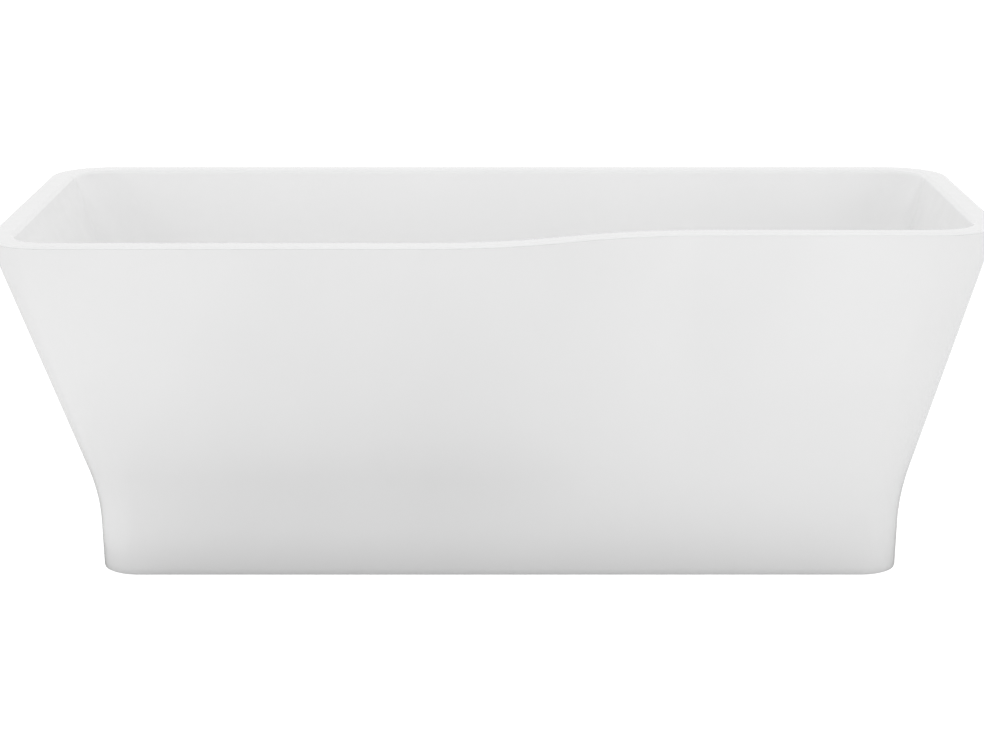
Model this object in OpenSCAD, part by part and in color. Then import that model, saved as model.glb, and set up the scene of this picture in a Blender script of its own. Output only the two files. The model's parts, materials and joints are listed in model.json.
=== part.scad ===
// Freestanding double-skin bathtub, millimetres, +Z up.
// The origin is on the floor, under the middle of the rim's box.
// The head end is at -X and the foot end at +X. The front, at -Y, steps back towards the foot end.

/* [Overall size] */
// Length of the rim
bath_l = 1700; // [1400:10:2050]
// Width of the rim at the head end
bath_w = 800; // [660:10:960]
// Height of the rim above the floor
bath_h = 600; // [500:5:720]
// Length of the base on the floor
base_l = 1383; // [1150:1:1660]
// Width of the base on the floor
base_w = 572; // [475:1:690]

/* [Outer shape] */
// Height of the bend between the upright plinth and the flared side
knee_h = 131; // [110:1:157]
// Half the height over which that bend is rounded
knee_blend = 50; // [30:1:60]
// How far the plinth leans out for each mm of its height
plinth_lean = 0.025; // [0:0.005:0.05]
// Corner radius of the base
base_r = 66; // [40:1:80]
// Corner radius of the rim
rim_r = 104; // [85:1:125]
// Corner radius of the rim at the front of the foot end
rim_foot_r = 112; // [90:1:135]
// How far the front edge of the rim steps back towards the foot end
step_back = 116; // [60:1:140]
// Where the step starts, from the middle of the bath
step_x = -120; // [-250:5:0]
// Length of the step
step_l = 478; // [400:1:575]

/* [Shells] */
// Thickness of the skirt
skirt_t = 6; // [4:0.5:8]
// Width of the flange that turns in at the top of the skirt
flange_w = 26; // [20:1:33]
// Thickness of the basin's walls
basin_t = 7; // [5:0.5:8]
// Thickness of the rim
rim_t = 4.5; // [4:0.5:10]
// Width of the flat rim
rim_w = 38; // [36:1:50]
// Rounding of the rim's outer edge
rim_edge_r = 3; // [2.5:0.5:5.5]
// Rounding of the rim's inner edge
inner_edge_r = 9; // [5:0.5:12]

/* [Basin] */
// Height of the basin's floor above the ground, where it meets its fillet
floor_z = 156; // [150:1:180]
// How far the floor falls to the waste
floor_fall = 8; // [4:0.5:10]
// Gap between the shells' outer faces at floor height, at the sloping head end
head_gap = 104; // [60:1:125]
// The same gap at the foot end
foot_gap = 40; // [34:1:60]
// The same gap along the back and the wide part of the front
side_gap = 55; // [45:1:66]
// The same gap along the narrow part of the front, where the overflow hose runs
hose_gap = 75; // [65:1:90]
// Radius between the walls and the floor
floor_fillet = 110; // [80:1:120]
// Corner radius of the walls at floor height, before the floor's fillet
deep_r = 190; // [160:1:210]

/* [Support frame] */
// Thickness of the base board
board_t = 15; // [12:1:18]
// Width of the base board
board_w = 200; // [170:1:240]
// Width of a rail
rail_w = 30; // [25:1:36]
// Height of a rail or cross bar
bar_h = 25; // [20:1:30]
// Width of a cross bar
bar_w = 25; // [25:1:30]
// Wall of the steel tube
tube_t = 2; // [1.5:0.5:3]
// Distance from the end of the base to the middle of an end cross bar
bar_inset = 150; // [125:1:170]
// Distance from the side of the base to a foot's middle
foot_inset = 80; // [66:1:90]
// Length of a cross bar past each foot
bar_over = 45; // [38:1:50]
// Width of a skirt bracket
bracket_w = 30; // [25:1:36]
// Thickness of a skirt bracket
bracket_t = 3; // [2:0.5:4]
// Width of a skirt block
block_w = 40; // [34:1:48]
// Depth of a skirt block, in from the skirt
block_d = 24; // [20:1:26]
// Height of a skirt block
block_h = 53; // [40:1:55]

/* [Feet] */
// Thread diameter of a stud
stud_d = 12; // [10:1:14]
// Radius of a pad
pad_r = 27; // [22:1:32]
// Height of a pad
pad_h = 16; // [14:1:19]
// Width across the flats of a nut
nut_af = 19; // [19:1:22]
// Height of a nut
nut_h = 10; // [8:1:12]
// How far a foot can be screwed down from its place
foot_down = 20; // [10:1:24]

/* [Waste] */
// Place of the waste and the overflow along the bath
waste_x = 420; // [380:5:440]
// Place of the waste across the bath
waste_y = 15; // [0:1:20]
// Radius of the waste's hole in the basin
waste_hole_r = 26; // [24:0.5:31.5]
// Radius of the chrome flange
waste_flange_r = 35; // [33:0.5:38]
// Depth of the recess that the flange sits in
recess_h = 2.5; // [2:0.5:3]
// Outer radius of the tailpiece
tail_r = 20; // [16:0.5:21]
// Height of the tailpiece's open end above the floor
tail_z = 16; // [10:1:20]
// Gap between the overflow hose and the rail that it passes under
hose_rail_gap = 4.5; // [2:0.5:8]
// Travel of the plug
plug_travel = 9; // [6:0.5:10]
// Radius of the plug
plug_r = 31; // [29:0.5:33]
// Radius of the plug's stem
stem_r = 4; // [3:0.5:4.5]

/* [Overflow] */
// Depth of the overflow's middle below the rim
overflow_drop = 110; // [95:1:130]
// Radius of the overflow's hole in the basin
overflow_hole_r = 25; // [22:0.5:27]
// Outer radius of the overflow hose
hose_r = 12.5; // [11:0.5:15]
// Bend radius of the hose
hose_bend_r = 45; // [40:1:50]

/* [Fits] */
// Radial clearance of a part that slides or turns in a hole
running = 0.05; // [0.02:0.01:0.08]
// Gap between faces that close on each other
closing_gap = 0.4; // [0.3:0.1:0.6]
// Radial clearance of a fixed part in its hole
loose = 0.5; // [0.2:0.1:1]

/* [Hidden] */
$fn = 96;

// Levels of the lofted shells
rim_round = min(rim_edge_r, rim_t - 0.5);    // the rounding stays within the rim
rim_z = bath_h - rim_round;         // the widest level of the bath
seam_z = bath_h - rim_t;            // where the rim lies on the skirt's flange
flange_z = seam_z - skirt_t;
board_top_z = floor_z - 2 * basin_t - 1;
drain_z = floor_z - floor_fall;

// Radii of the waste, from the flange's threaded tube outwards
thread_r = waste_hole_r - 1;
cup_r = thread_r + 6;
body_flange_r = cup_r + 7;

// Steps that the shells' rounded parts are cut into
corner_n = 8;
step_n = 8;
edge_n = 3;
fillet_n = 8;
wall_n = 3;
floor_n = 4;
blend_n = 5;

// ---- Outline in plan ----
// A plan is [head x, foot x, wide front y, narrow front y, rear y, corner radius, foot front radius].

// The flare grows slowly up the plinth, bends at the knee, then grows steadily to the rim.
function knee_ramp(z) =
    z < knee_h - knee_blend ? 0 :
    z < knee_h + knee_blend ? pow(z - knee_h + knee_blend, 2) / (4 * knee_blend) :
    z - knee_h;
end_flare = (bath_l - base_l) / 2;
function flare(z) = let (steady = (end_flare - plinth_lean * rim_z) / knee_ramp(rim_z))
    (plinth_lean * z + steady * knee_ramp(z)) / end_flare;

function mix(a, b, k) = a + (b - a) * k;
base_plan = [-base_l / 2, base_l / 2, -base_w / 2, -base_w / 2, base_w / 2, base_r, base_r];
rim_plan = [-bath_l / 2, bath_l / 2, -bath_w / 2, -bath_w / 2 + step_back, bath_w / 2, rim_r, rim_foot_r];
function outer_plan(z) = mix(base_plan, rim_plan, flare(min(z, rim_z)));

// The basin's wall runs straight from the rim to its own plan at floor height. Both are written
// as if for the outer edge, so the outline is always inset by the rim's width.
floor_plan = outer_plan(floor_z) + [head_gap - rim_w, rim_w - foot_gap, side_gap - rim_w,
    hose_gap - rim_w, rim_w - side_gap, 0, 0];
deep_plan = [for (i = [0:6]) i < 5 ? floor_plan[i] : deep_r + rim_w];
function wall_plan(z) = mix(rim_plan, deep_plan, (bath_h - z) / (bath_h - floor_z));

// An arc's points, from one angle to another
function arc(x, y, r, from, to, n) =
    [for (i = [0:n]) let (a = mix(from, to, i / n)) [x + r * cos(a), y + r * sin(a)]];
// The points between two points, without its ends
function between(a, b, n) = [for (i = [1:n - 1]) mix(a, b, i / n)];

// The step in the front edge: two arcs that meet on a slant, shifted inwards by i.
least_rise = 0.2;
function step_curve(p, i) =
    let (rise = max(p[3] - p[2], least_rise), r = (step_l * step_l + rise * rise) / (4 * rise),
         turn = asin(step_l / 2 / r))
    concat(arc(step_x, p[2] + r, r - i, -90, turn - 90, step_n),
           arc(step_x + step_l, p[2] + rise - r, r + i, 90 + turn, 90, step_n));

// The closed outline of plan p, inset by i, from the head end's front corner round to the rear.
function outline(p, i) =
    let (r = max(p[5] - i, 1), f = max(p[6] - i, 1), x0 = p[0] + i, x1 = p[1] - i,
         y0 = p[2] + i, y2 = p[4] - i, s = step_curve(p, i), y1 = s[len(s) - 1][1],
         front_left = arc(x0 + r, y0 + r, r, 180, 270, corner_n),
         front_right = arc(x1 - f, y1 + f, f, 270, 360, corner_n),
         rear_right = arc(x1 - r, y2 - r, r, 0, 90, corner_n),
         rear_left = arc(x0 + r, y2 - r, r, 90, 180, corner_n),
         last = corner_n)
    concat(front_left, between(front_left[last], s[0], 4),
           [for (k = [0:len(s) - 1]) if (k != step_n) s[k]],
           between(s[len(s) - 1], front_right[0], 3), front_right,
           between(front_right[last], rear_right[0], 4), rear_right,
           between(rear_right[last], rear_left[0], 8), rear_left,
           between(rear_left[last], front_left[0], 4));
function ring(p, i, z) = [for (q = outline(p, i)) [q[0], q[1], z]];

// A ring of the floor, k of the way from the fillet's foot to the flat round the waste
drain_flat_r = waste_flange_r + 20;
function floor_ring(k, z) =
    let (edge = outline(wall_plan(floor_z), rim_w + floor_fillet))
    [for (q = edge) let (d = [q[0] - waste_x, q[1] - waste_y], n = norm(d), r = mix(n, drain_flat_r, k))
        [waste_x + d[0] * r / n, waste_y + d[1] * r / n, z]];

// ---- Lofts ----
function strips(rows, n, wrap) = [for (j = [0:(wrap ? rows - 1 : rows - 2)], i = [0:n - 1])
    let (a = j * n + i, b = j * n + (i + 1) % n, c = ((j + 1) % rows) * n + (i + 1) % n,
         d = ((j + 1) % rows) * n + i) each [[a, b, c], [a, c, d]]];

module closed_loft(rings) {
    polyhedron([for (r = rings) each r], strips(len(rings), len(rings[0]), true));
}

// Rings from one end face to the other; each end is closed by a fan about its own middle.
module capped_loft(rings, first_middle, last_middle) {
    n = len(rings[0]);
    rows = len(rings);
    points = concat([for (r = rings) each r], [first_middle, last_middle]);
    fans = [for (i = [0:n - 1]) each [[i, rows * n, (i + 1) % n],
        [(rows - 1) * n + (i + 1) % n, rows * n + 1, (rows - 1) * n + i]]];
    polyhedron(points, concat(strips(rows, n, false), fans));
}

// ---- Shells ----
module outer_skirt() {
    levels = concat([0], [for (i = [0:blend_n]) knee_h - knee_blend + 2 * knee_blend * i / blend_n]);
    outside = [for (z = levels) ring(outer_plan(z), 0, z)];
    inside = [for (i = [len(levels) - 1:-1:0]) ring(outer_plan(levels[i]), skirt_t, levels[i])];
    color("white") closed_loft(concat(outside,
        [ring(outer_plan(seam_z), 0, seam_z), ring(outer_plan(seam_z), flange_w, seam_z),
         ring(outer_plan(flange_z), flange_w, flange_z), ring(outer_plan(flange_z), skirt_t, flange_z)],
        inside));
}

// The basin's wet side and underside follow the same wall line and the same fillet.
function wall_rings(inset, top, low) =
    [for (k = [1:wall_n]) let (z = mix(low, top, k / wall_n)) ring(wall_plan(z), inset, z)];
function wet_rings() = let (low = floor_z + floor_fillet, top = bath_h - inner_edge_r) concat(
    [for (k = [floor_n:-1:1]) floor_ring(k / floor_n, mix(floor_z, drain_z, k / floor_n))],
    [for (k = [0:fillet_n]) let (a = 90 * (1 - k / fillet_n), z = floor_z + floor_fillet * (1 - sin(a)))
        ring(wall_plan(z), rim_w + floor_fillet * (1 - cos(a)), z)],
    wall_rings(rim_w, top, low),
    [for (k = [1:edge_n]) let (a = 90 * k / edge_n)
        ring(wall_plan(top), rim_w - inner_edge_r * (1 - cos(a)), top + inner_edge_r * sin(a))]);
function rim_rings() = concat(
    [for (k = [0:edge_n]) let (a = 90 * (1 - k / edge_n))
        ring(rim_plan, rim_round * (1 - cos(a)), rim_z + rim_round * sin(a))],
    [ring(outer_plan(seam_z), 0, seam_z)]);
function dry_rings() =
    let (low = floor_z + floor_fillet, top = seam_z - inner_edge_r, under = floor_z - board_top_z) concat(
    [ring(wall_plan(seam_z), rim_w - basin_t - 3, seam_z),
     ring(wall_plan(top + inner_edge_r * 0.7), rim_w - basin_t - 0.8, top + inner_edge_r * 0.7)],
    [for (k = [wall_n:-1:1]) let (z = mix(low, top, k / wall_n)) ring(wall_plan(z), rim_w - basin_t, z)],
    [for (k = [fillet_n:-1:0]) let (a = 90 * (1 - k / fillet_n),
            z = floor_z + floor_fillet * (1 - sin(a)), drop = mix(basin_t, under, sin(a)) * sin(a))
        ring(wall_plan(z), rim_w + floor_fillet * (1 - cos(a)) - basin_t * cos(a), z - drop)],
    [for (k = [1:floor_n]) floor_ring(k / floor_n, board_top_z)]);

module inner_basin() {
    color("white") difference() {
        capped_loft(concat(wet_rings(), rim_rings(), dry_rings()),
            [waste_x, waste_y, drain_z], [waste_x, waste_y, board_top_z]);
        at_waste(drain_z - recess_h) cylinder(r = waste_flange_r + loose, h = recess_h + 1);
        at_waste(board_top_z - 1) cylinder(r = waste_hole_r, h = drain_z - board_top_z + 2);
        at_overflow() translate([0, 0, -basin_t - 5]) cylinder(r = overflow_hole_r, h = basin_t + 10);
    }
}

module at_waste(z) { translate([waste_x, waste_y, z]) children(); }

// ---- Support frame ----
rail_top_z = board_top_z - board_t;
rail_z = rail_top_z - bar_h;
bar_z = rail_z - bar_h;
rail_y = (board_w - rail_w) / 2;
bar_x = base_l / 2 - bar_inset;
foot_y = base_w / 2 - foot_inset;
bar_l = 2 * (foot_y + bar_over);
bar_places = [-bar_x, 0, bar_x];
board_ends = [wall_plan(floor_z)[0] + rim_w + floor_fillet, wall_plan(floor_z)[1] - rim_w - floor_fillet];
board_screw_r = 2.2;
board_screw_depth = 10;
board_screw_head_r = 4.5;
rail_screw_r = 3;
board_hole_r = body_flange_r + 7;           // the waste body passes through the board
cut = 1;                                    // how far a cutter runs past the face that it opens
board_screw_x = [for (k = [0:3]) mix(board_ends[0] + 40, board_ends[1] - 30, k / 3)];
stud_r = stud_d / 2;
inlet_z = rail_z - hose_rail_gap - hose_r;  // the overflow's inlet into the waste body

module base_board() {
    color("burlywood") difference() {
        translate([board_ends[0], -board_w / 2, rail_top_z])
            cube([board_ends[1] - board_ends[0], board_w, board_t]);
        at_waste(rail_top_z - cut) cylinder(r = board_hole_r, h = board_t + 2 * cut);
        for (x = board_screw_x, y = [-rail_y, rail_y])
            translate([x, y, rail_top_z - cut])
                cylinder(r = board_screw_r, h = board_screw_depth + 2 * cut);
    }
}

// A rail runs past the end cross bars at both ends. Its board screws go in from inside the tube,
// through a wider hole in its underside.
rail_over = 10;
driver_hole_r = board_screw_head_r + 1.5;
module rail(y) {
    l = 2 * (bar_x + rail_over) + bar_w;
    color("silver") difference() {
        translate([-l / 2, y - rail_w / 2, rail_z]) cube([l, rail_w, bar_h]);
        translate([-l / 2 - cut, y - rail_w / 2 + tube_t, rail_z + tube_t])
            cube([l + 2 * cut, rail_w - 2 * tube_t, bar_h - 2 * tube_t]);
        for (x = board_screw_x) {
            through_wall(x, y, rail_z, driver_hole_r);
            through_wall(x, y, rail_top_z - tube_t, board_screw_r + loose);
        }
        for (x = bar_places) through_wall(x, y, rail_z, rail_screw_r);
    }
}
// A cutter for a round hole in a tube's wall, whose underside is at z
module through_wall(x, y, z, r) {
    translate([x, y, z - cut]) cylinder(r = r, h = tube_t + 2 * cut);
}
module front_rail() { rail(-rail_y); }
module rear_rail() { rail(rail_y); }

module cross_bar(x) {
    color("silver") difference() {
        translate([x - bar_w / 2, -bar_l / 2, bar_z]) cube([bar_w, bar_l, bar_h]);
        translate([x - bar_w / 2 + tube_t, -bar_l / 2 - cut, bar_z + tube_t])
            cube([bar_w - 2 * tube_t, bar_l + 2 * cut, bar_h - 2 * tube_t]);
        for (y = [-foot_y, foot_y])
            translate([x, y, bar_z - cut]) cylinder(r = stud_r + loose, h = bar_h + 2 * cut);
        for (y = [-rail_y, rail_y])
            translate([x, y, bar_z - cut]) cylinder(r = rail_screw_r + loose, h = bar_h + 2 * cut);
        for (side = [-1, 1]) through_wall(x, side * bracket_screw_y, bar_z, rail_screw_r);
    }
}
module head_cross_bar() { cross_bar(-bar_x); }
module middle_cross_bar() { cross_bar(0); }
module foot_cross_bar() { cross_bar(bar_x); }

// A screw that points up, its head's top face at z = 0
module screw_up(r, l, head_r, head_h) {
    cylinder(r = r, h = l);
    translate([0, 0, -head_h]) cylinder(r = head_r, h = head_h);
}
module rail_screws() {
    color("gray") for (x = bar_places, y = [-rail_y, rail_y])
        translate([x, y, bar_z]) screw_up(rail_screw_r, bar_h + 5 * tube_t, rail_screw_r + 4, 4);
}
module board_screws() {
    color("gray") for (x = board_screw_x, y = [-rail_y, rail_y])
        translate([x, y, rail_top_z - tube_t])
            screw_up(board_screw_r, tube_t + board_screw_depth, board_screw_head_r, 3);
}

// The skirt's foot is tied to the cross bars by brackets screwed to blocks bonded inside it.
block_top_z = bar_z - bracket_t;
block_z = block_top_z - block_h;
block_face_y = -outer_plan(block_z)[2] - skirt_t;
front_face_y = -outer_plan(block_top_z)[3] - skirt_t - least_rise;
bracket_screw_y = foot_y + bar_over - 12;   // 12 in from the cross bar's end
block_screw_y = block_face_y - block_d / 2;
block_screw_depth = 18;
// The narrow part of the front can lean inwards, so the blocks there stand off by the least.
function block_y(side) = side < 0 ? min(front_face_y, block_face_y) : block_face_y;

module skirt_blocks() {
    color("burlywood") for (x = bar_places, side = [-1, 1]) difference() {
        translate([x - block_w / 2, side > 0 ? block_y(side) - block_d : -block_y(side), block_z])
            cube([block_w, block_d, block_h]);
        translate([x, side * block_screw_y, block_top_z - block_screw_depth - 2])
            cylinder(r = rail_screw_r, h = block_screw_depth + 2 + cut);
    }
}
module skirt_brackets() {
    start_y = foot_y + nut_af / 2 + 6;
    end_y = block_face_y - 4;
    color("silver") for (x = bar_places, side = [-1, 1]) difference() {
        translate([x - bracket_w / 2, side > 0 ? start_y : -end_y, block_top_z])
            cube([bracket_w, end_y - start_y, bracket_t]);
        for (y = [bracket_screw_y, block_screw_y])
            translate([x, side * y, block_top_z - cut])
                cylinder(r = rail_screw_r + loose, h = bracket_t + 2 * cut);
    }
}
module bracket_screws() {
    color("gray") for (x = bar_places, side = [-1, 1]) {
        translate([x, side * bracket_screw_y, block_top_z]) screw_up(rail_screw_r, bracket_t + 8, 6, 3);
        translate([x, side * block_screw_y, bar_z]) mirror([0, 0, 1])
            screw_up(rail_screw_r, bracket_t + block_screw_depth, 6, 3);
    }
}

// ---- Levelling feet ----
module nut(z) {
    translate([0, 0, z]) difference() {
        cylinder(d = nut_af / cos(30), h = nut_h, $fn = 6);
        translate([0, 0, -1]) cylinder(r = stud_r + running, h = nut_h + 2);
    }
}
module weld_nuts() {
    color("silver") for (x = bar_places, y = [-foot_y, foot_y])
        translate([x, y, 0]) nut(bar_z + bar_h);
}
module lock_nuts() {
    color("silver") for (x = bar_places, y = [-foot_y, foot_y]) translate([x, y, 0]) nut(bar_z - nut_h);
}
socket_z = 6;
stud_top_z = bar_z + bar_h + nut_h + foot_down + 5;
module stud(x, y) {
    color("silver") translate([x, y, 0]) {
        translate([0, 0, socket_z]) cylinder(r = stud_r, h = stud_top_z - socket_z);
        translate([0, 0, pad_h + 2]) cylinder(r = stud_r + 2, h = 8, $fn = 6);
    }
}
module pad(x, y) {
    color("dimgray") translate([x, y, 0]) rotate_extrude()
        polygon([[0, 0], [pad_r - 1.5, 0], [pad_r, 1.5], [pad_r, 5], [stud_r + 7, pad_h - 2],
            [stud_r + 5, pad_h], [stud_r, pad_h], [stud_r, socket_z], [0, socket_z]]);
}
module head_front_stud() { stud(-bar_x, -foot_y); }
module head_front_pad() { pad(-bar_x, -foot_y); }
module head_rear_stud() { stud(-bar_x, foot_y); }
module head_rear_pad() { pad(-bar_x, foot_y); }
module middle_front_stud() { stud(0, -foot_y); }
module middle_front_pad() { pad(0, -foot_y); }
module middle_rear_stud() { stud(0, foot_y); }
module middle_rear_pad() { pad(0, foot_y); }
module foot_front_stud() { stud(bar_x, -foot_y); }
module foot_front_pad() { pad(bar_x, -foot_y); }
module foot_rear_stud() { stud(bar_x, foot_y); }
module foot_rear_pad() { pad(bar_x, foot_y); }

// ---- Waste ----
gasket_t = 1.5;
lower_gasket_t = 3;
flange_t = 2.5;
seat_z = drain_z - recess_h;                // bottom of the recess
flange_under_z = seat_z + gasket_t;
flange_top_z = flange_under_z + flange_t;
thread_end_z = board_top_z - 36;
bore_r = thread_r - 3.5;
body_top_z = board_top_z - lower_gasket_t;
cup_z = inlet_z - 20;                       // underside of the waste body's cup
neck_r = tail_r + 5;
neck_z = cup_z - 14;
ring_t = 2;                                 // the tailpiece's sealing ring
collar_t = 2.5;                             // the tailpiece's collar
nut_lip = 5;
tail_top_z = neck_z - ring_t;
nut_z = tail_top_z - collar_t - nut_lip;
boss_r = 11;
cartridge_r = 8;
boss_h = 12;
boss_z = thread_end_z + 4;

module waste_flange() {
    color("gainsboro") at_waste(0) {
        rotate_extrude() polygon([[bore_r, thread_end_z], [thread_r, thread_end_z],
            [thread_r, flange_under_z], [waste_flange_r, flange_under_z],
            [waste_flange_r, flange_top_z - 1], [waste_flange_r - 1, flange_top_z],
            [bore_r + 3.5, flange_top_z], [bore_r, flange_top_z - 3]]);
        difference() {
            union() {
                translate([0, 0, boss_z]) cylinder(r = boss_r, h = boss_h);
                for (a = [0, 90]) rotate(a)
                    translate([-bore_r - 0.5, -1.5, boss_z]) cube([2 * bore_r + 1, 3, boss_h]);
            }
            translate([0, 0, boss_z - 1]) cylinder(r = cartridge_r, h = boss_h + 2);
        }
    }
}
module waste_upper_gasket() {
    color("dimgray") at_waste(seat_z) tube(waste_flange_r - 1, thread_r, gasket_t);
}
module waste_lower_gasket() {
    color("dimgray") at_waste(body_top_z) tube(body_flange_r - 1, thread_r + 0.2, lower_gasket_t);
}
module tube(outer, inner, h) {
    difference() {
        cylinder(r = outer, h = h);
        translate([0, 0, -1]) cylinder(r = inner, h = h + 2);
    }
}

// The cup that the flange screws into, with the overflow's inlet on its front side
module waste_body() {
    color("whitesmoke") at_waste(0) difference() {
        union() {
            rotate_extrude() polygon([[0, neck_z], [neck_r, neck_z], [neck_r, cup_z], [cup_r - 3, cup_z],
                [cup_r, cup_z + 4], [cup_r, body_top_z - 5], [body_flange_r, body_top_z - 5],
                [body_flange_r, body_top_z], [0, body_top_z]]);
            translate([0, 0, inlet_z]) rotate([90, 0, 0]) cylinder(r = hose_r, h = inlet_reach);
        }
        translate([0, 0, neck_z - 1]) cylinder(r = tail_r - 2, h = cup_z - neck_z + 7);
        translate([0, 0, cup_z + 5]) cylinder(r = thread_r + 1.5, h = thread_end_z - cup_z - 5);
        translate([0, 0, thread_end_z - 1]) cylinder(r = thread_r, h = body_top_z - thread_end_z + 2);
        translate([0, 0, inlet_z]) rotate([90, 0, 0]) cylinder(r = hose_r - 3, h = inlet_reach + 1);
    }
}
inlet_reach = cup_r + 22;                   // from the waste's middle to the inlet's mouth

module waste_plug() {
    z = flange_top_z + closing_gap;
    color("gainsboro") at_waste(z) rotate_extrude() difference() {
        union() {
            polygon([[0, 0], [plug_r, 0], [plug_r, 2], [plug_r - 1, 3], [plug_r * 0.6, 4.4],
                [plug_r * 0.3, 5.1], [0, 5.3]]);
            translate([0, -2]) square([9, 3]);
        }
        translate([0, -3]) square([stem_r, 5]);
        translate([seal_r - 2, -1]) square([4, 2]);
    }
}
seal_r = 14;
module plug_seal() {
    color("dimgray") at_waste(flange_top_z + closing_gap - 1.5) tube(seal_r + 2, seal_r - 2, 2.5);
}
cavity_z = boss_z - 4;                      // floor of the cartridge's hollow
collar_z = cavity_z + 15;
cavity_h = 15 + 2 + plug_travel + 5;
module plug_stem() {
    top = flange_top_z + closing_gap + 2;
    color("silver") at_waste(0) {
        translate([0, 0, cavity_z + 2]) cylinder(r = stem_r, h = top - cavity_z - 2);
        translate([0, 0, collar_z]) cylinder(r = cartridge_r - 2, h = 2);
    }
}
module click_cartridge() {
    color("gold") at_waste(0) difference() {
        translate([0, 0, cavity_z - 2]) cylinder(r = cartridge_r, h = cavity_h + 4);
        translate([0, 0, cavity_z]) cylinder(r = cartridge_r - 1.4, h = cavity_h);
        translate([0, 0, cavity_z]) cylinder(r = stem_r + running, h = cavity_h + 3);
    }
}
// A closed coil of round wire, swept as one tube with flat ends
module cartridge_spring() {
    turns = 4;
    wire_r = 0.6;
    coil_r = cartridge_r - 2.7;
    pitch = (collar_z - cavity_z - 2 * wire_r - 0.2) / turns;
    steps = 14 * turns;
    sides = 8;
    rings = [for (i = [0:steps]) let (a = 360 * turns * i / steps)
        [for (j = [0:sides - 1]) let (b = 360 * j / sides, r = coil_r + wire_r * cos(b))
            [r * cos(a), r * sin(a), wire_r + 0.1 + pitch * turns * i / steps + wire_r * sin(b)]]];
    function middle(r) = [for (c = [0:2]) (r[0][c] + r[sides / 2][c]) / 2];
    color("silver") at_waste(cavity_z) capped_loft(rings, middle(rings[0]), middle(rings[steps]));
}

// A pipe whose collar is held up against the waste body's neck by a nut
module tailpiece() {
    under_z = tail_top_z - collar_t;
    color("whitesmoke") at_waste(0) rotate_extrude() polygon([[tail_r - 2, tail_z], [tail_r, tail_z],
        [tail_r, nut_z], [tail_r - 0.3, nut_z], [tail_r - 0.3, under_z], [neck_r - loose, under_z],
        [neck_r - loose, tail_top_z], [tail_r - 2, tail_top_z]]);
}
module tailpiece_ring() {
    color("dimgray") at_waste(tail_top_z) tube(neck_r - loose, tail_r - 2, ring_t);
}
module ribbed_nut(outer, thread, pipe, h, lip) {
    difference() {
        union() {
            cylinder(r = outer, h = h);
            for (a = [0:30:359]) rotate(a) translate([outer - 1, -1.5, 0]) cube([2.5, 3, h]);
        }
        translate([0, 0, lip]) cylinder(r = thread, h = h);
        translate([0, 0, -1]) cylinder(r = pipe, h = h);
    }
}
module tailpiece_nut() {
    color("whitesmoke") at_waste(nut_z) ribbed_nut(neck_r + 4, neck_r, tail_r + 0.2, 20, nut_lip);
}

// ---- Overflow ----
overflow_z = bath_h - overflow_drop;
wall_lean = (deep_plan[3] - rim_plan[3]) / (bath_h - floor_z);
wall_y = rim_plan[3] + rim_w + wall_lean * overflow_drop;
wall_tilt = atan(wall_lean);
hose_y = wall_y - hose_r - 9.5;             // the hose stands clear of the wall's dry face
outlet_z = overflow_z - 45;                 // the body's outlet, which the hose is pushed onto

// Local +Z points into the basin, square to its wall, and z = 0 is the wet face
module at_overflow() {
    translate([waste_x, wall_y, overflow_z]) rotate([wall_tilt - 90, 0, 0]) children();
}
back_z = -basin_t * cos(wall_tilt);         // the wall's dry face
module overflow_body() {
    seal_z = back_z - 3;
    color("whitesmoke") difference() {
        union() {
            at_overflow() translate([0, 0, seal_z - 4]) cylinder(r = overflow_hole_r + 8, h = 4);
            at_overflow() translate([0, 0, seal_z - 21])
                cylinder(r = overflow_hole_r - 2, h = 21 - seal_z - 1);
            translate([waste_x, hose_y, outlet_z]) cylinder(r = hose_r - 1.5, h = 40);
        }
        difference() {
            at_overflow() translate([0, 0, seal_z - 19]) cylinder(r = overflow_hole_r - 4.5, h = 40);
            at_overflow() translate([0, 0, seal_z - 21]) cylinder(r = 5.5, h = 18 - seal_z);
        }
        at_overflow() translate([0, 0, seal_z - 15]) cylinder(r = 2.5, h = 40);
        translate([waste_x, hose_y, outlet_z - 1]) cylinder(r = hose_r - 3.5, h = 26);
    }
}
module overflow_seal() {
    color("dimgray") at_overflow() translate([0, 0, back_z - 3])
        tube(overflow_hole_r + 7, overflow_hole_r - 2, 3);
}
module overflow_cover() {
    r = overflow_hole_r + 10;
    color("gainsboro") at_overflow() difference() {
        rotate_extrude() polygon([[2.6, 7], [r - 3, 7], [r - 3, 0], [r, 0], [r, 8.5], [r - 1.5, 10],
            [r * 0.6, 11], [2.6, 11.4]]);
        translate([-16, r - 8, -1]) cube([32, 20, 6]);
    }
}
module overflow_screw() {
    color("gainsboro") at_overflow() {
        translate([0, 0, back_z - 12]) cylinder(r = 2.5, h = 23.4 - back_z);
        translate([0, 0, 11.4]) cylinder(r = 5, h = 2.2);
    }
}

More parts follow.
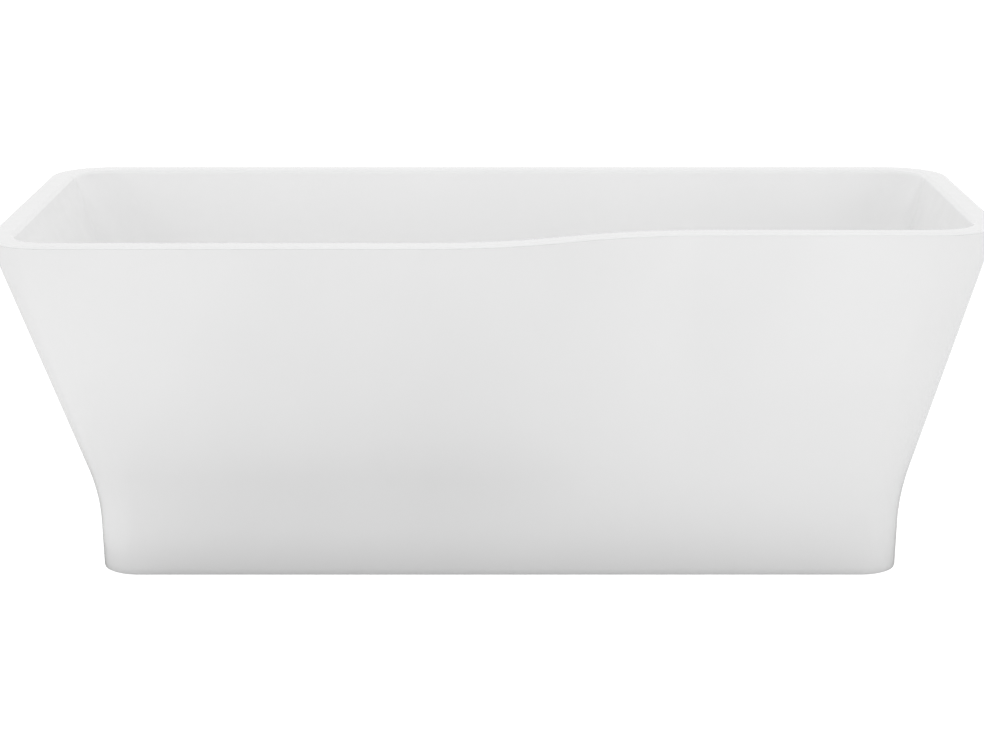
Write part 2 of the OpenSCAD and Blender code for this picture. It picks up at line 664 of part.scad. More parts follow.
// A ribbed straight length of hose along +Z, and its plain bend
module ribbed_hose(l) {
    n = floor(l / 6);
    pitch = l / n;
    rotate_extrude() polygon(concat([[hose_r - 3, 0]],
        [for (i = [0:n - 1]) each [[hose_r - 1.5, pitch * i], [hose_r - 1.5, pitch * (i + 0.35)],
            [hose_r, pitch * (i + 0.5)], [hose_r, pitch * (i + 0.7)], [hose_r - 1.5, pitch * (i + 0.85)]]],
        [[hose_r - 1.5, l], [hose_r - 3, l]]));
}
module overflow_hose() {
    bend_z = inlet_z + hose_bend_r;
    run_y = hose_y + hose_bend_r;
    run_end = waste_y - inlet_reach;
    color("lightgray") {
        translate([waste_x, hose_y, bend_z]) ribbed_hose(outlet_z - bend_z);
        translate([waste_x, run_y, bend_z]) rotate([0, 90, 0]) rotate([0, 0, -90])
            rotate_extrude(angle = 90) translate([hose_bend_r, 0])
                difference() { circle(r = hose_r - 1.5); circle(r = hose_r - 3); }
        translate([waste_x, run_y, inlet_z]) rotate([-90, 0, 0]) ribbed_hose(run_end - run_y);
    }
}
module upper_hose_nut() {
    color("whitesmoke") translate([waste_x, hose_y, outlet_z + 8]) mirror([0, 0, 1])
        ribbed_nut(hose_r + 2.5, hose_r + 0.2, hose_r - 1.5, 22, 8);
}
module lower_hose_nut() {
    color("whitesmoke") translate([waste_x, waste_y - inlet_reach - 14, inlet_z]) rotate([-90, 0, 0])
        ribbed_nut(hose_r + 4, hose_r, hose_r + 0.2, 28, 14);
}

inner_basin();
outer_skirt();
base_board();
front_rail();
rear_rail();
head_cross_bar();
middle_cross_bar();
foot_cross_bar();
rail_screws();
board_screws();
weld_nuts();
lock_nuts();
skirt_blocks();
skirt_brackets();
bracket_screws();
head_front_stud();
head_front_pad();
head_rear_stud();
head_rear_pad();
middle_front_stud();
middle_front_pad();
middle_rear_stud();
middle_rear_pad();
foot_front_stud();
foot_front_pad();
foot_rear_stud();
foot_rear_pad();
waste_flange();
waste_upper_gasket();
waste_lower_gasket();
waste_body();
waste_plug();
plug_seal();
plug_stem();
click_cartridge();
cartridge_spring();
tailpiece();
tailpiece_nut();
tailpiece_ring();
overflow_cover();
overflow_screw();
overflow_body();
overflow_seal();
overflow_hose();
upper_hose_nut();
lower_hose_nut();
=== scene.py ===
"""Looks for the freestanding bathtub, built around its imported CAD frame. Metres, +Z up, front at -Y."""
import json
import math

import bmesh
import bpy
from mathutils import Matrix, Vector


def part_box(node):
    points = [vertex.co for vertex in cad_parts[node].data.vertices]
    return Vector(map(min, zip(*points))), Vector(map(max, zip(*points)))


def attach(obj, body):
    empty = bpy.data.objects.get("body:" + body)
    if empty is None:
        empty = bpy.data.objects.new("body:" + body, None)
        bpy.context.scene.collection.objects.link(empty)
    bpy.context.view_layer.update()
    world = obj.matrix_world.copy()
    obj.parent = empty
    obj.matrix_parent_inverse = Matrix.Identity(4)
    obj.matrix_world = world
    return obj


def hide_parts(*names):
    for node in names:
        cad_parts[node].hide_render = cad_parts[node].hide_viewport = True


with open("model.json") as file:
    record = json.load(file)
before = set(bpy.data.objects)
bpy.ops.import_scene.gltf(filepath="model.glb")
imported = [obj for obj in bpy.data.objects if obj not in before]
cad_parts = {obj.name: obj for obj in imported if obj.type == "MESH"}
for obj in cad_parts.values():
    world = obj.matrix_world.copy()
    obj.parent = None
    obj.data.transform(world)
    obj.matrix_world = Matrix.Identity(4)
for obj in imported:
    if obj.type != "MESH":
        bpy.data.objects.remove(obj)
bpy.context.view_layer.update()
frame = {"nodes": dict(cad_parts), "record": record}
MM = 0.001

# ---------------------------------------------------------------- sizes, as in the CAD source
basin_low, basin_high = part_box("inner_basin")
flange_low, flange_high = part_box("waste_flange")

RIM_TOP = basin_high.z
HALF_L, HALF_W = basin_high.x, basin_high.y
SEAM_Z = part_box("outer_skirt")[1].z
BASE_HALF_L, BASE_HALF_W = 691.5 * MM, 286 * MM
KNEE_H, KNEE_BLEND, PLINTH_LEAN = 131 * MM, 50 * MM, 0.025
BASE_R, RIM_R, RIM_FOOT_R = 66 * MM, 104 * MM, 112 * MM
STEP_BACK, STEP_X, STEP_L = 116 * MM, -120 * MM, 478 * MM
LEAST_RISE = 0.2 * MM
SKIRT_T, FLANGE_W, BASIN_T, BACK_CHAMFER = 6 * MM, 26 * MM, 7 * MM, 3 * MM
RIM_W, RIM_EDGE_R, INNER_EDGE_R = 38 * MM, 3 * MM, 9 * MM
FLOOR_Z, DRAIN_Z, BOARD_TOP_Z = 156 * MM, 148 * MM, basin_low.z
FLOOR_FILLET, DEEP_R = 110 * MM, 190 * MM
HEAD_GAP, FOOT_GAP, SIDE_GAP, HOSE_GAP = 104 * MM, 40 * MM, 55 * MM, 75 * MM
WASTE = (flange_low + flange_high) / 2
WASTE_HOLE_R, RECESS_R, RECESS_H = 26 * MM, 35.5 * MM, 2.5 * MM
RECESS_EDGE, DRAIN_FLAT_R, FALL_CURVE = 0.6 * MM, 55 * MM, 1.5
OVERFLOW_HOLE_R, OVERFLOW_Z, HOLE_CUT = 25 * MM, RIM_TOP - 110 * MM, 40 * MM
STUD_D, THREAD_PITCH, THREAD_DEPTH = 12 * MM, 1.75 * MM, 0.95 * MM
HEX_R, HEX_END_R, HEX_LOW, HEX_HIGH, CHAMFER = 8 * MM, 7.04 * MM, 18 * MM, 26 * MM, 1 * MM
FOOT_R, FOOT_LEVEL, PLINTH_LEVEL, BELOW_SEAM = 2.5 * MM, 4 * MM, 12 * MM, 3 * MM
SEAM_HALF, SEAM_DEPTH = 0.4 * MM, 0.5 * MM    # the fine groove where the rim meets the skirt

# How finely the smooth shells are cut: rounded parts, then straight stretches of the outline and levels
CORNER_N, STEP_N, EDGE_N, FILLET_N = 20, 24, 6, 18
WIDE_N, NARROW_N, FOOT_END_N, REAR_N, HEAD_END_N = 14, 10, 12, 40, 14
PLINTH_N, KNEE_N, FLARE_N, WALL_N, BACK_N, DISH_N, UNDER_N = 3, 16, 16, 12, 10, 14, 8
STUD_SIDES, THREAD_STEPS, HOLE_SIDES = 24, 4, 64
FLAT_SHARES = (0.03, 0.5, 0.97)    # rings on the flat rim, the outer two close to its rounded edges
SHARP_ANGLE = math.radians(38)
RIM_Z = RIM_TOP - RIM_EDGE_R


# ---------------------------------------------------------------- the shape's formulas
def mix(a, b, k):
    return a + (b - a) * k


def mix_plan(a, b, k):
    return [mix(p, q, k) for p, q in zip(a, b)]


def knee_ramp(z):
    if z < KNEE_H - KNEE_BLEND:
        return 0.0
    if z < KNEE_H + KNEE_BLEND:
        return (z - KNEE_H + KNEE_BLEND) ** 2 / (4 * KNEE_BLEND)
    return z - KNEE_H


def flare(z):
    """0 at the base, 1 at the rim: slow up the plinth, then steady above the knee."""
    end_flare = HALF_L - BASE_HALF_L
    steady = (end_flare - PLINTH_LEAN * RIM_Z) / knee_ramp(RIM_Z)
    return (PLINTH_LEAN * z + steady * knee_ramp(z)) / end_flare


# A plan is [head x, foot x, wide front y, narrow front y, rear y, corner radius, foot front radius].
BASE_PLAN = [-BASE_HALF_L, BASE_HALF_L, -BASE_HALF_W, -BASE_HALF_W, BASE_HALF_W, BASE_R, BASE_R]
RIM_PLAN = [-HALF_L, HALF_L, -HALF_W, -HALF_W + STEP_BACK, HALF_W, RIM_R, RIM_FOOT_R]


def outer_plan(z):
    return mix_plan(BASE_PLAN, RIM_PLAN, flare(min(z, RIM_Z)))


AT_FLOOR = outer_plan(FLOOR_Z)
DEEP_PLAN = [AT_FLOOR[0] + HEAD_GAP - RIM_W, AT_FLOOR[1] + RIM_W - FOOT_GAP, AT_FLOOR[2] + SIDE_GAP - RIM_W,
             AT_FLOOR[3] + HOSE_GAP - RIM_W, AT_FLOOR[4] + RIM_W - SIDE_GAP, DEEP_R + RIM_W, DEEP_R + RIM_W]


def wall_plan(z):
    return mix_plan(RIM_PLAN, DEEP_PLAN, (RIM_TOP - z) / (RIM_TOP - FLOOR_Z))


def arc(x, y, r, start, end, n):
    angles = [math.radians(mix(start, end, i / n)) for i in range(n + 1)]
    return [(x + r * math.cos(a), y + r * math.sin(a)) for a in angles]


def between(a, b, n):
    return [(mix(a[0], b[0], i / n), mix(a[1], b[1], i / n)) for i in range(1, n)]


def outline(plan, inset):
    """The closed outline of a plan, inset, from the head end's front corner round to the rear."""
    x0, x1, y0, y2 = plan[0] + inset, plan[1] - inset, plan[2] + inset, plan[4] - inset
    r, f = max(plan[5] - inset, MM), max(plan[6] - inset, MM)
    rise = max(plan[3] - plan[2], LEAST_RISE)
    big = (STEP_L ** 2 + rise ** 2) / (4 * rise)
    turn = math.degrees(math.asin(STEP_L / 2 / big))
    step = arc(STEP_X, plan[2] + big, big - inset, -90, turn - 90, STEP_N)[:-1]
    step += arc(STEP_X + STEP_L, plan[2] + rise - big, big + inset, 90 + turn, 90, STEP_N)
    y1 = step[-1][1]
    front_left = arc(x0 + r, y0 + r, r, 180, 270, CORNER_N)
    front_right = arc(x1 - f, y1 + f, f, 270, 360, CORNER_N)
    rear_right = arc(x1 - r, y2 - r, r, 0, 90, CORNER_N)
    rear_left = arc(x0 + r, y2 - r, r, 90, 180, CORNER_N)
    return (front_left + between(front_left[-1], step[0], WIDE_N) + step
            + between(step[-1], front_right[0], NARROW_N) + front_right
            + between(front_right[-1], rear_right[0], FOOT_END_N) + rear_right
            + between(rear_right[-1], rear_left[0], REAR_N) + rear_left
            + between(rear_left[-1], front_left[0], HEAD_END_N))


def ring(plan, inset, z):
    return [(x, y, z) for x, y in outline(plan, inset)]


def waste_ring(radius, z):
    """A circle round the waste whose points face those of the floor's outline."""
    points = []
    for x, y in FLOOR_EDGE:
        share = radius / math.hypot(x - WASTE.x, y - WASTE.y)
        points.append((mix(WASTE.x, x, share), mix(WASTE.y, y, share), z))
    return points


FLOOR_EDGE = outline(wall_plan(FLOOR_Z), RIM_W + FLOOR_FILLET)


def floor_ring(k, z):
    inner = waste_ring(DRAIN_FLAT_R, z)
    return [(mix(x, p[0], k), mix(y, p[1], k), z) for (x, y), p in zip(FLOOR_EDGE, inner)]


def steps(start, end, n):
    return [mix(start, end, i / n) for i in range(n + 1)]


# ---------------------------------------------------------------- meshes
def new_object(name, mesh):
    piece = bpy.data.objects.new(name, mesh)
    bpy.context.scene.collection.objects.link(piece)
    return piece


def loft(name, rings, dry_rows):
    """A closed loft through closed rings. Faces of the dry rows get the second material."""
    n, rows = len(rings[0]), len(rings)
    faces = []
    for j in range(rows):
        for i in range(n):
            a, b = j * n + i, j * n + (i + 1) % n
            c, d = (j + 1) % rows * n + (i + 1) % n, (j + 1) % rows * n + i
            faces.append((a, b, c, d))
    mesh = bpy.data.meshes.new(name)
    mesh.from_pydata([p for r in rings for p in r], [], faces)
    for face in mesh.polygons:
        face.material_index = 1 if face.index // n in dry_rows else 0
    shell = bmesh.new()
    shell.from_mesh(mesh)
    bmesh.ops.recalc_face_normals(shell, faces=shell.faces)
    shell.to_mesh(mesh)
    shell.free()
    mesh.shade_smooth()
    mesh.set_sharp_from_angle(angle=SHARP_ANGLE)
    return new_object(name, mesh)


def skirt_rings():
    """Outside from the floor to the seam, the flange under the rim, then down the inside."""
    levels = ([FOOT_LEVEL] + steps(PLINTH_LEVEL, KNEE_H - KNEE_BLEND, PLINTH_N)
              + steps(KNEE_H - KNEE_BLEND, KNEE_H + KNEE_BLEND, KNEE_N)[1:]
              + steps(KNEE_H + KNEE_BLEND, SEAM_Z - BELOW_SEAM, FLARE_N)[1:])
    outside = [ring(outer_plan(0), FOOT_R, 0), ring(outer_plan(0), 0.3 * FOOT_R, 0.35 * FOOT_R)]
    outside += [ring(outer_plan(z), 0, z) for z in levels]
    seam = [ring(outer_plan(SEAM_Z), 0, SEAM_Z - SEAM_HALF), ring(outer_plan(SEAM_Z), SEAM_DEPTH, SEAM_Z)]
    flange_z = SEAM_Z - SKIRT_T
    under = [ring(outer_plan(SEAM_Z), FLANGE_W, SEAM_Z), ring(outer_plan(flange_z), FLANGE_W, flange_z),
             ring(outer_plan(flange_z), SKIRT_T, flange_z)]
    inside = [ring(outer_plan(z), SKIRT_T, z) for z in reversed([0] + levels[:-1])]
    return outside + seam, under + inside


def wet_rings():
    """From the waste's recess out over the floor, up the fillet and wall, to the rim's inner edge."""
    low, top = FLOOR_Z + FLOOR_FILLET, RIM_TOP - INNER_EDGE_R
    rings = [waste_ring(WASTE_HOLE_R, DRAIN_Z - RECESS_H), waste_ring(RECESS_R, DRAIN_Z - RECESS_H),
             waste_ring(RECESS_R, DRAIN_Z - RECESS_EDGE), waste_ring(RECESS_R + RECESS_EDGE, DRAIN_Z)]
    rings += [floor_ring(k, mix(FLOOR_Z, DRAIN_Z, k ** FALL_CURVE)) for k in steps(1, 0, DISH_N)[:-1]]
    for angle in steps(90, 0, FILLET_N):
        a = math.radians(angle)
        z = FLOOR_Z + FLOOR_FILLET * (1 - math.sin(a))
        rings.append(ring(wall_plan(z), RIM_W + FLOOR_FILLET * (1 - math.cos(a)), z))
    rings += [ring(wall_plan(z), RIM_W, z) for z in steps(low, top, WALL_N)[1:]]
    for angle in steps(0, 90, EDGE_N)[1:]:
        a = math.radians(angle)
        inset, z = RIM_W - INNER_EDGE_R * (1 - math.cos(a)), top + INNER_EDGE_R * math.sin(a)
        rings.append(ring(wall_plan(top), inset, z))
    return rings


def rim_rings():
    """Across the flat rim, round its outer edge and down to the seam."""
    rings = [ring(RIM_PLAN, mix(RIM_W - INNER_EDGE_R, RIM_EDGE_R, k), RIM_TOP) for k in FLAT_SHARES]
    for angle in steps(90, 0, EDGE_N):
        a = math.radians(angle)
        rings.append(ring(RIM_PLAN, RIM_EDGE_R * (1 - math.cos(a)), RIM_Z + RIM_EDGE_R * math.sin(a)))
    low = SEAM_Z + SEAM_HALF
    return rings + [ring(outer_plan(low), 0, low), ring(outer_plan(SEAM_Z), SEAM_DEPTH, SEAM_Z)]


def dry_rings():
    """Under the rim, down the back of the wall and under the floor to the waste's hole."""
    low, top = FLOOR_Z + FLOOR_FILLET, SEAM_Z - INNER_EDGE_R
    rings = [ring(wall_plan(SEAM_Z), RIM_W - BASIN_T - BACK_CHAMFER, SEAM_Z)]
    rings += [ring(wall_plan(z), RIM_W - BASIN_T, z) for z in steps(top, low, BACK_N)]
    for angle in steps(0, 90, FILLET_N)[1:]:
        a = math.radians(angle)
        z = FLOOR_Z + FLOOR_FILLET * (1 - math.sin(a))
        drop = mix(BASIN_T, FLOOR_Z - BOARD_TOP_Z, math.sin(a)) * math.sin(a)
        inset = RIM_W + FLOOR_FILLET * (1 - math.cos(a)) - BASIN_T * math.cos(a)
        rings.append(ring(wall_plan(z), inset, z - drop))
    rings += [floor_ring(k, BOARD_TOP_Z) for k in steps(0, 1, UNDER_N)[1:]]
    return rings + [waste_ring(WASTE_HOLE_R, BOARD_TOP_Z)]


def threaded_stud(name, node):
    """A levelling stud: a plain shank in the pad, a jacking hexagon, then a thread to its chamfered tip."""
    low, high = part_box(node)
    middle, sides = (low + high) / 2, STUD_SIDES
    radius, root = STUD_D / 2, STUD_D / 2 - THREAD_DEPTH
    rings = []

    def add_ring(z, radius_at):
        angles = [2 * math.pi * i / sides for i in range(sides)]
        rings.append([(middle.x + radius_at(a) * math.cos(a), middle.y + radius_at(a) * math.sin(a), z)
                      for a in angles])

    def hexagon(a):
        return HEX_R * math.cos(math.pi / 6) / math.cos((a % (math.pi / 3)) - math.pi / 6)

    def thread(z):
        def radius_at(a):
            turn = (z / THREAD_PITCH - a / (2 * math.pi)) % 1
            return radius - THREAD_DEPTH * abs(turn * 2 - 1)
        return radius_at

    def chamfered_hexagon(a):
        return min(hexagon(a), HEX_END_R)

    add_ring(low.z, lambda a: radius - CHAMFER)
    add_ring(low.z + CHAMFER, lambda a: radius)
    add_ring(HEX_LOW, lambda a: radius)
    add_ring(HEX_LOW, chamfered_hexagon)
    add_ring(HEX_LOW + CHAMFER, hexagon)
    add_ring(HEX_HIGH - CHAMFER, hexagon)
    add_ring(HEX_HIGH, chamfered_hexagon)
    add_ring(HEX_HIGH, lambda a: root)
    z = HEX_HIGH + CHAMFER
    while z < high.z - 2 * CHAMFER:
        add_ring(z, thread(z))
        z += THREAD_PITCH / THREAD_STEPS
    add_ring(high.z - CHAMFER, lambda a: root)
    add_ring(high.z, lambda a: root - CHAMFER)
    faces = []
    for j in range(len(rings) - 1):
        low_row, high_row = j * sides, (j + 1) * sides
        faces += [(low_row + i, low_row + (i + 1) % sides, high_row + (i + 1) % sides, high_row + i)
                  for i in range(sides)]
    last_row = (len(rings) - 1) * sides
    faces += [tuple(reversed(range(sides))), tuple(range(last_row, last_row + sides))]
    mesh = bpy.data.meshes.new(name)
    mesh.from_pydata([point for r in rings for point in r], [], faces)
    mesh.shade_smooth()
    mesh.set_sharp_from_angle(angle=SHARP_ANGLE)
    return new_object(name, mesh)


def cut_round_hole(piece, centre, direction, radius, depth):
    """Cuts a round hole through a piece with an exact boolean."""
    cutter_mesh = bpy.data.meshes.new("cutter")
    cutter = bmesh.new()
    bmesh.ops.create_cone(cutter, cap_ends=True, segments=HOLE_SIDES, radius1=radius, radius2=radius,
                          depth=depth)
    cutter.to_mesh(cutter_mesh)
    cutter.free()
    tool = new_object("cutter", cutter_mesh)
    turn = direction.to_track_quat("Z", "Y").to_matrix().to_4x4()
    tool.matrix_world = Matrix.Translation(centre) @ turn
    cut = piece.modifiers.new("hole", "BOOLEAN")
    cut.object = tool
    cut.solver = "EXACT"
    bpy.context.view_layer.update()
    evaluated = piece.evaluated_get(bpy.context.evaluated_depsgraph_get())
    result = bpy.data.meshes.new_from_object(evaluated)
    piece.modifiers.clear()
    piece.data = result
    bpy.data.objects.remove(tool)
    result.set_sharp_from_angle(angle=SHARP_ANGLE)


# ---------------------------------------------------------------- materials
def new_material(name):
    material = bpy.data.materials.new(name)
    material.use_nodes = True
    tree = material.node_tree
    shader = tree.nodes["Principled BSDF"]
    return material, tree, shader


def set_inputs(node, values):
    for key, value in values.items():
        node.inputs[key].default_value = value


def add_node(tree, kind, values=None, **settings):
    node = tree.nodes.new(kind)
    for key, value in settings.items():
        setattr(node, key, value)
    set_inputs(node, values or {})
    return node


def position(tree, scale=(1, 1, 1)):
    """Object coordinates, stretched: the grain's size is set in metres, and it never needs UVs."""
    place = add_node(tree, "ShaderNodeTexCoord")
    stretch = add_node(tree, "ShaderNodeMapping", {"Scale": scale})
    tree.links.new(place.outputs["Object"], stretch.inputs["Vector"])
    return stretch.outputs["Vector"]


def noise(tree, where, scale, detail=3.0, roughness=0.5):
    node = add_node(tree, "ShaderNodeTexNoise", {"Scale": scale, "Detail": detail, "Roughness": roughness})
    tree.links.new(where, node.inputs["Vector"])
    return node.outputs["Fac"]


def ramp(tree, factor, stops):
    node = add_node(tree, "ShaderNodeValToRGB")
    colours = node.color_ramp
    while len(colours.elements) < len(stops):
        colours.elements.new(0.5)
    for element, (place, colour) in zip(colours.elements, stops):
        element.position = place
        element.color = (*colour, 1)
    tree.links.new(factor, node.inputs["Fac"])
    return node.outputs["Color"]


def spread(tree, factor, low, high):
    node = add_node(tree, "ShaderNodeMapRange",
                    {"From Min": 0.3, "From Max": 0.7, "To Min": low, "To Max": high})
    tree.links.new(factor, node.inputs["Value"])
    return node.outputs["Result"]


def bump(tree, shader, height, strength, distance):
    node = add_node(tree, "ShaderNodeBump", {"Strength": strength, "Distance": distance})
    tree.links.new(height, node.inputs["Height"])
    tree.links.new(node.outputs["Normal"], shader.inputs["Normal"])


def white_acrylic():
    """Glossy cast acrylic: a faint cloudiness in the white, soft waves in the gloss, a clear hard skin."""
    material, tree, shader = new_material("white_acrylic")
    where = position(tree)
    cloud = noise(tree, where, 3.0, 2.0)
    white = ramp(tree, cloud, [(0.3, (0.865, 0.865, 0.865)), (0.7, (0.885, 0.885, 0.885))])
    tree.links.new(white, shader.inputs["Base Color"])
    tree.links.new(spread(tree, noise(tree, where, 22.0, 4.0), 0.16, 0.24), shader.inputs["Roughness"])
    set_inputs(shader, {"IOR": 1.49, "Coat Weight": 0.6, "Coat Roughness": 0.04, "Coat IOR": 1.49})
    bump(tree, shader, noise(tree, where, 9.0, 2.0), 0.05, 0.0015)
    return material


def glass_fibre():
    """The sprayed backing of the shells: chopped strands set in pale resin."""
    material, tree, shader = new_material("glass_fibre_backing")
    where = position(tree)
    strands = add_node(tree, "ShaderNodeTexVoronoi", {"Scale": 90.0, "Randomness": 1.0},
                       feature="DISTANCE_TO_EDGE")
    bend = add_node(tree, "ShaderNodeMapping", {"Scale": (1.0, 0.25, 0.6), "Rotation": (0.4, 0.2, 0.7)})
    tree.links.new(where, bend.inputs["Vector"])
    tree.links.new(bend.outputs["Vector"], strands.inputs["Vector"])
    resin = ramp(tree, strands.outputs["Distance"], [(0.0, (0.83, 0.81, 0.72)), (0.25, (0.66, 0.64, 0.54))])
    tree.links.new(resin, shader.inputs["Base Color"])
    tree.links.new(spread(tree, noise(tree, where, 60.0), 0.35, 0.65), shader.inputs["Roughness"])
    bump(tree, shader, strands.outputs["Distance"], 0.5, 0.001)
    return material


def metal(name, light, dark, low, high, scale, stretch=(1, 1, 1), spangle=0.0):
    """A metal: its tone and gloss wander over the surface; zinc also has a crystal spangle."""
    material, tree, shader = new_material(name)
    where = position(tree, stretch)
    if spangle:
        crystals = add_node(tree, "ShaderNodeTexVoronoi", {"Scale": spangle})
        tree.links.new(where, crystals.inputs["Vector"])
        split = add_node(tree, "ShaderNodeSeparateColor")
        tree.links.new(crystals.outputs["Color"], split.inputs["Color"])
        factor = split.outputs["Red"]
    else:
        factor = noise(tree, where, scale, 4.0)
    tree.links.new(ramp(tree, factor, [(0.25, dark), (0.75, light)]), shader.inputs["Base Color"])
    tree.links.new(spread(tree, factor, low, high), shader.inputs["Roughness"])
    set_inputs(shader, {"Metallic": 1.0})
    bump(tree, shader, noise(tree, where, scale * 4, 3.0), 0.05, 0.0002)
    return material


def moulded(name, light, dark, low, high, scale, depth):
    """A moulded plastic or rubber with a fine grained skin."""
    material, tree, shader = new_material(name)
    where = position(tree)
    tree.links.new(ramp(tree, noise(tree, where, scale / 10, 3.0), [(0.3, dark), (0.7, light)]),
                   shader.inputs["Base Color"])
    tree.links.new(spread(tree, noise(tree, where, scale, 2.0), low, high), shader.inputs["Roughness"])
    set_inputs(shader, {"IOR": 1.5})
    bump(tree, shader, noise(tree, where, scale, 3.0), depth, 0.0003)
    return material


def plywood():
    """Sawn plywood: long grain along the bath, and thin plies that show on the edges."""
    material, tree, shader = new_material("plywood")
    grain = noise(tree, position(tree, (3, 60, 60)), 4.0, 6.0, 0.6)
    plies = add_node(tree, "ShaderNodeTexWave", {"Scale": 65.0, "Distortion": 0.4}, bands_direction="Z")
    tree.links.new(position(tree), plies.inputs["Vector"])
    tone = add_node(tree, "ShaderNodeMix", {"Factor": 0.35})
    tree.links.new(grain, tone.inputs[2])
    tree.links.new(plies.outputs["Fac"], tone.inputs[3])
    wood = ramp(tree, tone.outputs[0], [(0.2, (0.42, 0.26, 0.13)), (0.5, (0.62, 0.44, 0.26)),
                                        (0.85, (0.75, 0.58, 0.37))])
    tree.links.new(wood, shader.inputs["Base Color"])
    tree.links.new(spread(tree, grain, 0.55, 0.8), shader.inputs["Roughness"])
    bump(tree, shader, grain, 0.3, 0.0004)
    return material


MATERIALS = {
    "white_acrylic": white_acrylic(),
    "plywood": plywood(),
    "galvanised_steel": metal("galvanised_steel", (0.66, 0.68, 0.70), (0.42, 0.44, 0.46), 0.3, 0.55, 30.0,
                              spangle=160.0),
    "screw_steel": metal("screw_steel", (0.72, 0.71, 0.66), (0.52, 0.51, 0.46), 0.22, 0.4, 120.0),
    "chrome": metal("chrome", (0.60, 0.61, 0.63), (0.54, 0.55, 0.57), 0.05, 0.13, 60.0),
    "brass": metal("brass", (0.83, 0.66, 0.32), (0.62, 0.45, 0.20), 0.2, 0.38, 150.0, (1, 1, 12)),
    "spring_steel": metal("spring_steel", (0.70, 0.70, 0.70), (0.50, 0.50, 0.52), 0.18, 0.3, 200.0),
    "black_rubber": moulded("black_rubber", (0.045, 0.045, 0.047), (0.025, 0.025, 0.026), 0.55, 0.8, 500.0,
                            0.25),
    "white_plastic": moulded("white_plastic", (0.84, 0.84, 0.82), (0.76, 0.76, 0.73), 0.3, 0.5, 350.0, 0.1),
    "grey_plastic": moulded("grey_plastic", (0.50, 0.51, 0.52), (0.38, 0.39, 0.40), 0.35, 0.6, 300.0, 0.15),
    "black_plastic": moulded("black_plastic", (0.07, 0.07, 0.072), (0.04, 0.04, 0.042), 0.4, 0.65, 300.0,
                             0.3),
}
BACKING = glass_fibre()

# ---------------------------------------------------------------- pieces
shown, hidden = skirt_rings()
skirt = loft("skirt_shell", shown + hidden, range(len(shown) - 1, len(shown) + len(hidden)))
wet, rim, dry = wet_rings(), rim_rings(), dry_rings()
basin = loft("basin_shell", wet + rim + dry, range(len(wet) + len(rim), len(wet) + len(rim) + len(dry) - 1))

wall_lean = (DEEP_PLAN[3] - RIM_PLAN[3]) / (RIM_TOP - FLOOR_Z)
overflow_centre = Vector((WASTE.x, RIM_PLAN[3] + RIM_W + wall_lean * (RIM_TOP - OVERFLOW_Z), OVERFLOW_Z))
cut_round_hole(basin, overflow_centre, Vector((0, 1, wall_lean)), OVERFLOW_HOLE_R, HOLE_CUT)

for piece, node in ((skirt, "outer_skirt"), (basin, "inner_basin")):
    piece.data.materials.clear()
    piece.data.materials.append(MATERIALS["white_acrylic"])
    piece.data.materials.append(BACKING)
    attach(piece, "bath")
    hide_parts(node)

for foot in [f"{place}_{side}" for place in ("head", "middle", "foot") for side in ("front", "rear")]:
    stud = threaded_stud(f"{foot}_threaded_stud", f"{foot}_stud")
    stud.data.materials.append(MATERIALS["screw_steel"])
    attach(stud, f"{foot}_foot")
    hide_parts(f"{foot}_stud")

for entry in frame["record"]["subparts"]:
    part = frame["nodes"][entry["node"]]
    part.data.materials.clear()
    part.data.materials.append(MATERIALS[entry["material_slot"]])

# ---------------------------------------------------------------- stage
scene = bpy.context.scene
scene.view_settings.view_transform = "Standard"
scene.view_settings.look = "None"

HORIZON_LIGHT, ZENITH_LIGHT, BACKDROP_SHARE = 1.28, 0.81, 0.75
STAGE_WHITE = 1.2
SENSOR_WIDTH, LENS, LOOKS_DOWN = 36.0, 88.257, 14.126
CAMERA_PLACE = (-0.0133, -4.2419, 1.3619)
REFLECTOR_HEIGHT = 10 * MM
FLOOR_REACH, PAINTED_SHADE_REACH = 12.0, 0.45
BACKDROP_FROM, BACKDROP_TO = 0.86, 0.95     # how squarely a direction faces the backdrop
FLOOR_LEVEL = -0.5 * MM       # just below the bath's foot, so that the two faces don't fight


def white_to_camera(tree, lit, output_socket):
    """The stage shows as plain white, and lights the bath with its other shader: the world's light, or the
    pale floor with painted shade near the bath.
    """
    path = add_node(tree, "ShaderNodeLightPath")
    white = add_node(tree, "ShaderNodeEmission", {"Color": (1, 1, 1, 1), "Strength": STAGE_WHITE})
    choose = add_node(tree, "ShaderNodeMixShader")
    tree.links.new(path.outputs["Is Camera Ray"], choose.inputs[0])
    tree.links.new(lit, choose.inputs[1])
    tree.links.new(white.outputs[0], choose.inputs[2])
    tree.links.new(choose.outputs[0], output_socket)


def make_floor():
    mesh = bpy.data.meshes.new("studio_floor")
    corners = ((-1, -1), (1, -1), (1, 1), (-1, 1))
    mesh.from_pydata([(x * FLOOR_REACH, y * FLOOR_REACH, FLOOR_LEVEL) for x, y in corners],
                     [], [(0, 1, 2, 3)])
    floor = new_object("studio_floor", mesh)
    material, tree, shader = new_material("studio_floor")
    # Painted shade: ambient occlusion turns the floor's colour from pale to near black close to the bath.
    # Only the bath sees it, and it darkens the bath towards the bottom.
    near = add_node(tree, "ShaderNodeAmbientOcclusion", {"Distance": PAINTED_SHADE_REACH})
    near.samples = 8
    tree.links.new(ramp(tree, near.outputs["AO"], [(0.3, (0.06, 0.06, 0.06)), (0.95, (0.82, 0.82, 0.82))]),
                   shader.inputs["Base Color"])
    set_inputs(shader, {"Roughness": 0.8})
    white_to_camera(tree, shader.outputs[0], tree.nodes["Material Output"].inputs["Surface"])
    mesh.materials.append(material)


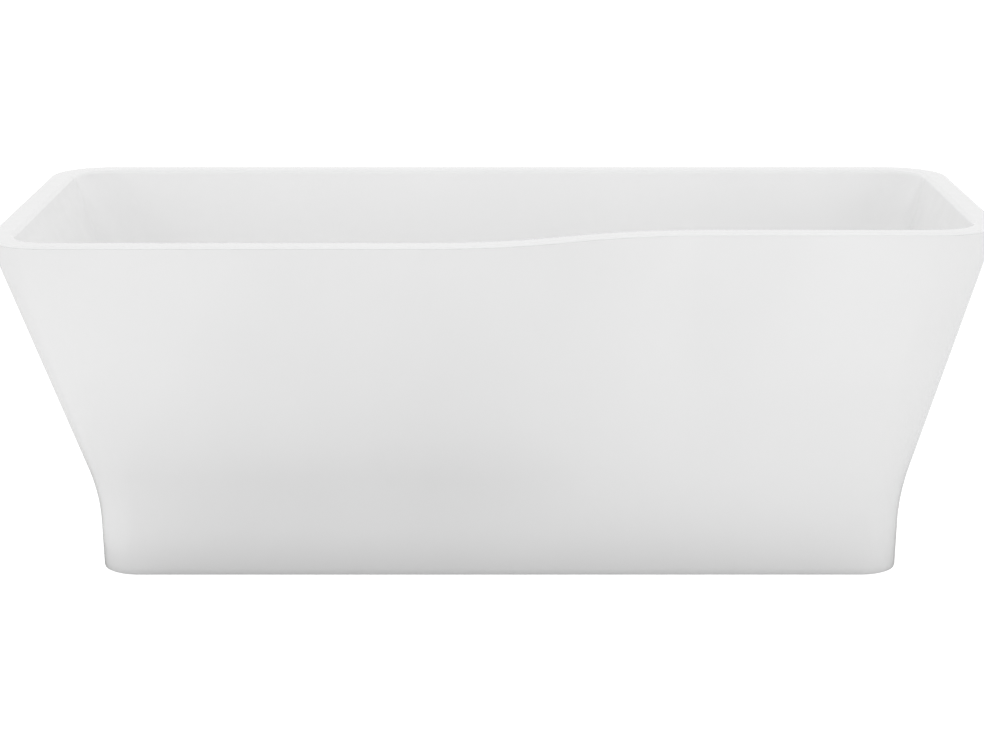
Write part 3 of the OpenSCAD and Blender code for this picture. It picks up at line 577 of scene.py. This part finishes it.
def make_world():
    world = bpy.data.worlds.new("studio")
    scene.world = world
    world.use_nodes = True
    tree = world.node_tree
    sky = tree.nodes["Background"]
    direction = add_node(tree, "ShaderNodeTexCoord")
    parts = add_node(tree, "ShaderNodeSeparateXYZ")
    tree.links.new(direction.outputs["Generated"], parts.inputs[0])
    fade = add_node(tree, "ShaderNodeMapRange", {"To Min": HORIZON_LIGHT, "To Max": ZENITH_LIGHT})
    tree.links.new(parts.outputs["Z"], fade.inputs["Value"])
    backdrop = add_node(tree, "ShaderNodeMapRange", {"From Min": BACKDROP_FROM, "From Max": BACKDROP_TO,
                                                     "To Min": 1.0, "To Max": BACKDROP_SHARE})
    tree.links.new(parts.outputs["Y"], backdrop.inputs["Value"])
    level = add_node(tree, "ShaderNodeMath", operation="MULTIPLY")
    tree.links.new(fade.outputs["Result"], level.inputs[0])
    tree.links.new(backdrop.outputs["Result"], level.inputs[1])
    tree.links.new(level.outputs[0], sky.inputs["Strength"])
    set_inputs(sky, {"Color": (1, 1, 1, 1)})
    white_to_camera(tree, sky.outputs[0], tree.nodes["World Output"].inputs["Surface"])


def reflector(name, near, far, width, power):
    """A low studio light that lies face up just above the floor, so that the gloss picks up its outline."""
    near, far = Vector((*near, REFLECTOR_HEIGHT)), Vector((*far, REFLECTOR_HEIGHT))
    along = far - near
    data = bpy.data.lights.new(name, "AREA")
    data.shape = "RECTANGLE"
    data.size, data.size_y, data.energy = width, along.length, power
    light = bpy.data.objects.new(name, data)
    light.visible_camera = False
    light.location = (near + far) / 2
    light.rotation_euler = (math.pi, 0, math.atan2(along.y, along.x) - math.pi / 2)
    scene.collection.objects.link(light)


def make_camera():
    """The camera was fitted to the bath's outline: low in front, looking down a little."""
    data = bpy.data.cameras.new("camera")
    data.sensor_width = SENSOR_WIDTH
    data.lens = LENS
    camera = new_object("camera", data)
    camera.location = CAMERA_PLACE
    camera.rotation_euler = (math.radians(90 - LOOKS_DOWN), 0, 0)
    scene.camera = camera


make_floor()
make_world()
make_camera()
reflector("right_reflector", (0.775, -1.62), (1.19, -3.60), width=0.44, power=0.5)
reflector("left_reflector", (-1.15, -0.15), (-0.75, -1.8), width=0.75, power=0.6)
